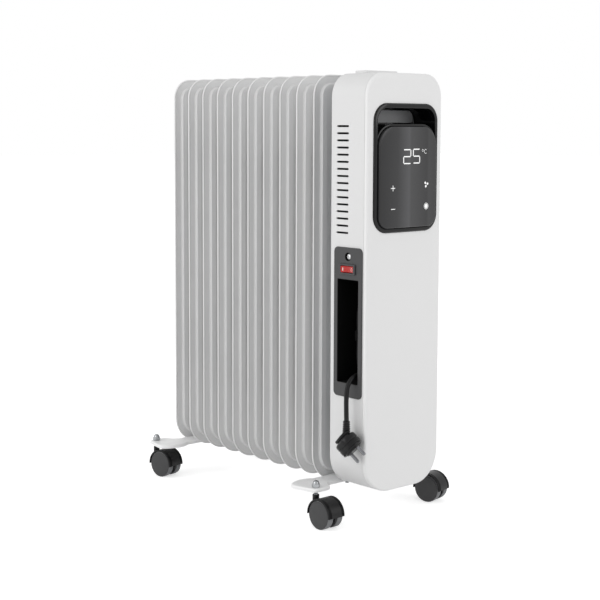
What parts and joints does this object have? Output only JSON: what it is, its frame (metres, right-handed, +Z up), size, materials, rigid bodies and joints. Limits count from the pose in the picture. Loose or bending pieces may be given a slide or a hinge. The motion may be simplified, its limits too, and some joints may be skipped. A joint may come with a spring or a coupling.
{
  "type": "oil filled radiator heater",
  "caption": "Free-standing oil-filled electric radiator with pressed steel elements, an upright control housing with a smoked display, and twin-wheel casters on two feet.",
  "frame": {"origin": "on the floor under the middle of the heater's box", "axes": "+Z up, +X from the first element towards the control housing, -Y towards the side with the switch and the cord bay"},
  "size_m": [0.4625, 0.2496, 0.6298],
  "materials": {
    "element_enamel": "semi-gloss enamel",
    "housing_enamel": "satin enamel",
    "cover_white": "satin",
    "bezel_black": "gloss",
    "display_grey": "gloss, smoked, with lit figures",
    "plate_grey": "fine matte",
    "bay_black": "matte",
    "rocker_red": "clear red, gloss",
    "screw_steel": "bright",
    "foot_white": "semi-gloss enamel",
    "zinc_steel": "zinc plated",
    "nut_chrome": "polished",
    "caster_black": "satin",
    "wheel_grey": "satin",
    "cord_black": "matte",
    "circuit_board": "satin",
    "heat_shield": "dull"
  },
  "bodies": {
    "heater": {"fin_01": "element_enamel", "fin_02": "element_enamel", "fin_03": "element_enamel", "fin_04": "element_enamel", "fin_05": "element_enamel", "fin_06": "element_enamel", "fin_07": "element_enamel", "fin_08": "element_enamel", "fin_09": "element_enamel", "fin_10": "element_enamel", "heating_element": "zinc_steel", "oil_filler_plug": "zinc_steel", "housing_shell": "housing_enamel", "heat_shield": "heat_shield", "front_cover": "cover_white", "top_cap": "cover_white", "control_bezel": "bezel_black", "display_panel": "display_grey", "control_board": "circuit_board", "power_board": "circuit_board", "thermal_cutout": "bay_black", "tilt_switch": "bay_black", "cord_bay": "bay_black", "side_plate": "plate_grey", "switch_body": "plate_grey", "plate_screw": "screw_steel", "foot_front": "foot_white", "foot_rear": "foot_white", "u_bolt_front": "zinc_steel", "u_bolt_rear": "zinc_steel", "wing_nut_front_left": "zinc_steel", "wing_nut_front_right": "zinc_steel", "wing_nut_rear_left": "zinc_steel", "wing_nut_rear_right": "zinc_steel", "caster_stem_front_left": "zinc_steel", "cap_nut_front_left": "nut_chrome", "caster_stem_front_right": "zinc_steel", "cap_nut_front_right": "nut_chrome", "caster_stem_rear_left": "zinc_steel", "cap_nut_rear_left": "nut_chrome", "caster_stem_rear_right": "zinc_steel", "cap_nut_rear_right": "nut_chrome", "cord_gland": "cord_black", "cord_feed": "cord_black", "cord_hank": "cord_black", "cord_lead": "cord_black", "mains_plug": "cord_black"},
    "rocker": {"rocker": "rocker_red"},
    "caster_front_left": {"caster_hood_front_left": "caster_black"},
    "wheel_inner_front_left": {"wheel_inner_front_left": "wheel_grey"},
    "wheel_outer_front_left": {"wheel_outer_front_left": "wheel_grey"},
    "caster_rear_left": {"caster_hood_rear_left": "caster_black"},
    "wheel_inner_rear_left": {"wheel_inner_rear_left": "wheel_grey"},
    "wheel_outer_rear_left": {"wheel_outer_rear_left": "wheel_grey"},
    "caster_front_right": {"caster_hood_front_right": "caster_black"},
    "wheel_inner_front_right": {"wheel_inner_front_right": "wheel_grey"},
    "wheel_outer_front_right": {"wheel_outer_front_right": "wheel_grey"},
    "caster_rear_right": {"caster_hood_rear_right": "caster_black"},
    "wheel_inner_rear_right": {"wheel_inner_rear_right": "wheel_grey"},
    "wheel_outer_rear_right": {"wheel_outer_rear_right": "wheel_grey"}
  },
  "joints": [
    {"name": "power_rocker", "type": "hinge", "parent": "heater", "child": "rocker", "pos_m": [0.1858, -0.0729, 0.358], "axis": [0, 0, 1], "range_deg": [-15, 0]},
    {"name": "caster_swivel_front_left", "type": "hinge", "parent": "heater", "child": "caster_front_left", "pos_m": [0.1563, -0.105, 0.04], "axis": [0, 0, 1], "continuous": true},
    {"name": "wheel_roll_inner_front_left", "type": "hinge", "parent": "caster_front_left", "child": "wheel_inner_front_left", "pos_m": [0.1766, -0.105, 0.01983], "axis": [0, 1, 0], "continuous": true},
    {"name": "wheel_roll_outer_front_left", "type": "hinge", "parent": "caster_front_left", "child": "wheel_outer_front_left", "pos_m": [0.1766, -0.105, 0.01983], "axis": [0, 1, 0], "continuous": true},
    {"name": "caster_swivel_rear_left", "type": "hinge", "parent": "heater", "child": "caster_rear_left", "pos_m": [-0.2197, -0.105, 0.04], "axis": [0, 0, 1], "continuous": true},
    {"name": "wheel_roll_inner_rear_left", "type": "hinge", "parent": "caster_rear_left", "child": "wheel_inner_rear_left", "pos_m": [-0.19971, -0.10147, 0.01983], "axis": [-0.1736, 0.9848, 0], "continuous": true},
    {"name": "wheel_roll_outer_rear_left", "type": "hinge", "parent": "caster_rear_left", "child": "wheel_outer_rear_left", "pos_m": [-0.19971, -0.10147, 0.01983], "axis": [-0.1736, 0.9848, 0], "continuous": true},
    {"name": "caster_swivel_front_right", "type": "hinge", "parent": "heater", "child": "caster_front_right", "pos_m": [0.1563, 0.105, 0.04], "axis": [0, 0, 1], "continuous": true},
    {"name": "wheel_roll_inner_front_right", "type": "hinge", "parent": "caster_front_right", "child": "wheel_inner_front_right", "pos_m": [0.17616, 0.10922, 0.01983], "axis": [-0.2079, 0.9781, 0], "continuous": true},
    {"name": "wheel_roll_outer_front_right", "type": "hinge", "parent": "caster_front_right", "child": "wheel_outer_front_right", "pos_m": [0.17616, 0.10922, 0.01983], "axis": [-0.2079, 0.9781, 0], "continuous": true},
    {"name": "caster_swivel_rear_right", "type": "hinge", "parent": "heater", "child": "caster_rear_right", "pos_m": [-0.2197, 0.105, 0.04], "axis": [0, 0, 1], "continuous": true},
    {"name": "wheel_roll_inner_rear_right", "type": "hinge", "parent": "caster_rear_right", "child": "wheel_inner_rear_right", "pos_m": [-0.19951, 0.10712, 0.01983], "axis": [-0.1045, 0.9945, 0], "continuous": true},
    {"name": "wheel_roll_outer_rear_right", "type": "hinge", "parent": "caster_rear_right", "child": "wheel_outer_rear_right", "pos_m": [-0.19951, 0.10712, 0.01983], "axis": [-0.1045, 0.9945, 0], "continuous": true}
  ]
}
